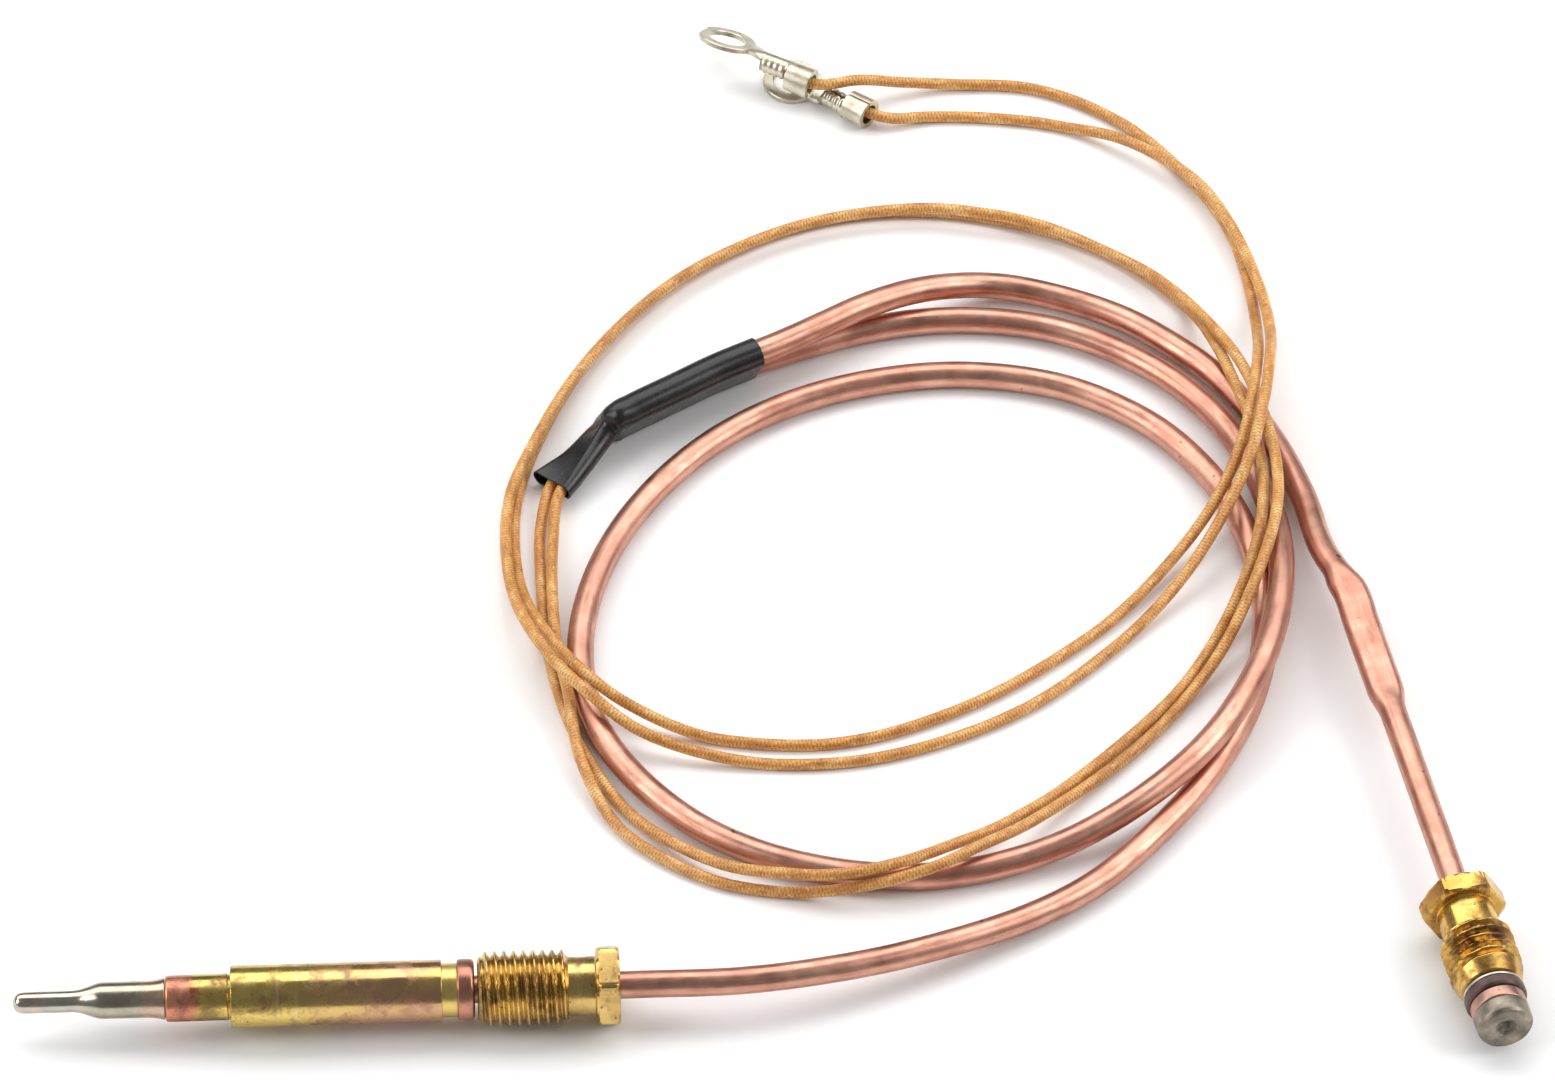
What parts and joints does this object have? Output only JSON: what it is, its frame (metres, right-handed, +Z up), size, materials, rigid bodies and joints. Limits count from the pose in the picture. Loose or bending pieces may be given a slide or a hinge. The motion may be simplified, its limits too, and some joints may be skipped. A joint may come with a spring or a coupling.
{
  "type": "interrupted gas thermocouple",
  "caption": "Interrupted gas thermocouple: probe with threaded nut, coiled copper lead, black splice with ring-ended wires and threaded contact end.",
  "frame": {"origin": "centre of the footprint of the probe, copper leads, splice and contact end, on the plane the part lies on", "axes": "+Z up from the plane the part lies on; +X from the probe's tip towards the contact end, along the longest side; +Y away from the probe, towards the ring terminals"},
  "size_m": [0.1585, 0.1517, 0.0089],
  "materials": {
    "copper_lead": "drawn soft copper, lightly tarnished",
    "brass": "turned brass, handled",
    "nut_brass": "turned brass, stained",
    "sheath_steel": "drawn steel sheath, heat tinted",
    "braze_copper": "copper braze",
    "collar_copper": "turned copper alloy, dull",
    "constantan": "drawn wire",
    "insulator_ceramic": "unglazed",
    "liner_fibre": "woven glass fibre",
    "tinned_brass": "tin plated",
    "solder": "dull solder",
    "washer_fibre": "pressed fibre",
    "sleeve_black": "heat-shrunk tubing",
    "wire_fibre": "varnished glass fibre lapping"
  },
  "bodies": {
    "thermocouple": {"hot_junction_tip": "sheath_steel", "thermo_core": "constantan", "braze_ring": "braze_copper", "probe_body": "brass", "ceramic_insulator": "insulator_ceramic", "core_joint": "solder", "probe_collar": "collar_copper", "lead_tube_probe": "copper_lead", "lead_insulation_probe": "liner_fibre", "lead_conductor_probe": "copper_lead", "lead_tube_contact": "copper_lead", "lead_insulation_contact": "liner_fibre", "lead_conductor_contact": "copper_lead", "contact_flange": "tinned_brass", "insulating_washer": "washer_fibre", "contact_cap": "copper_lead", "contact_solder_tip": "solder", "splice_sleeve": "sleeve_black", "splice_crimp_1": "tinned_brass", "splice_crimp_2": "tinned_brass", "tube_bond": "solder", "lead_wire_1": "wire_fibre", "lead_wire_2": "wire_fibre", "wire_end_1": "copper_lead", "wire_end_2": "copper_lead", "ring_terminal_1": "tinned_brass", "ring_terminal_2": "tinned_brass"},
    "probe_nut": {"probe_nut": "nut_brass"},
    "contact_nut": {"contact_nut": "nut_brass"}
  },
  "joints": [
    {"name": "probe_nut_slide", "type": "slide", "parent": "thermocouple", "child": "probe_nut", "axis": [0.9992, 0.0401, 0], "range_m": [0, 0.01]},
    {"name": "contact_nut_slide", "type": "slide", "parent": "thermocouple", "child": "contact_nut", "axis": [-0.2211, 0.9753, 0], "range_m": [0, 0.025]}
  ]
}
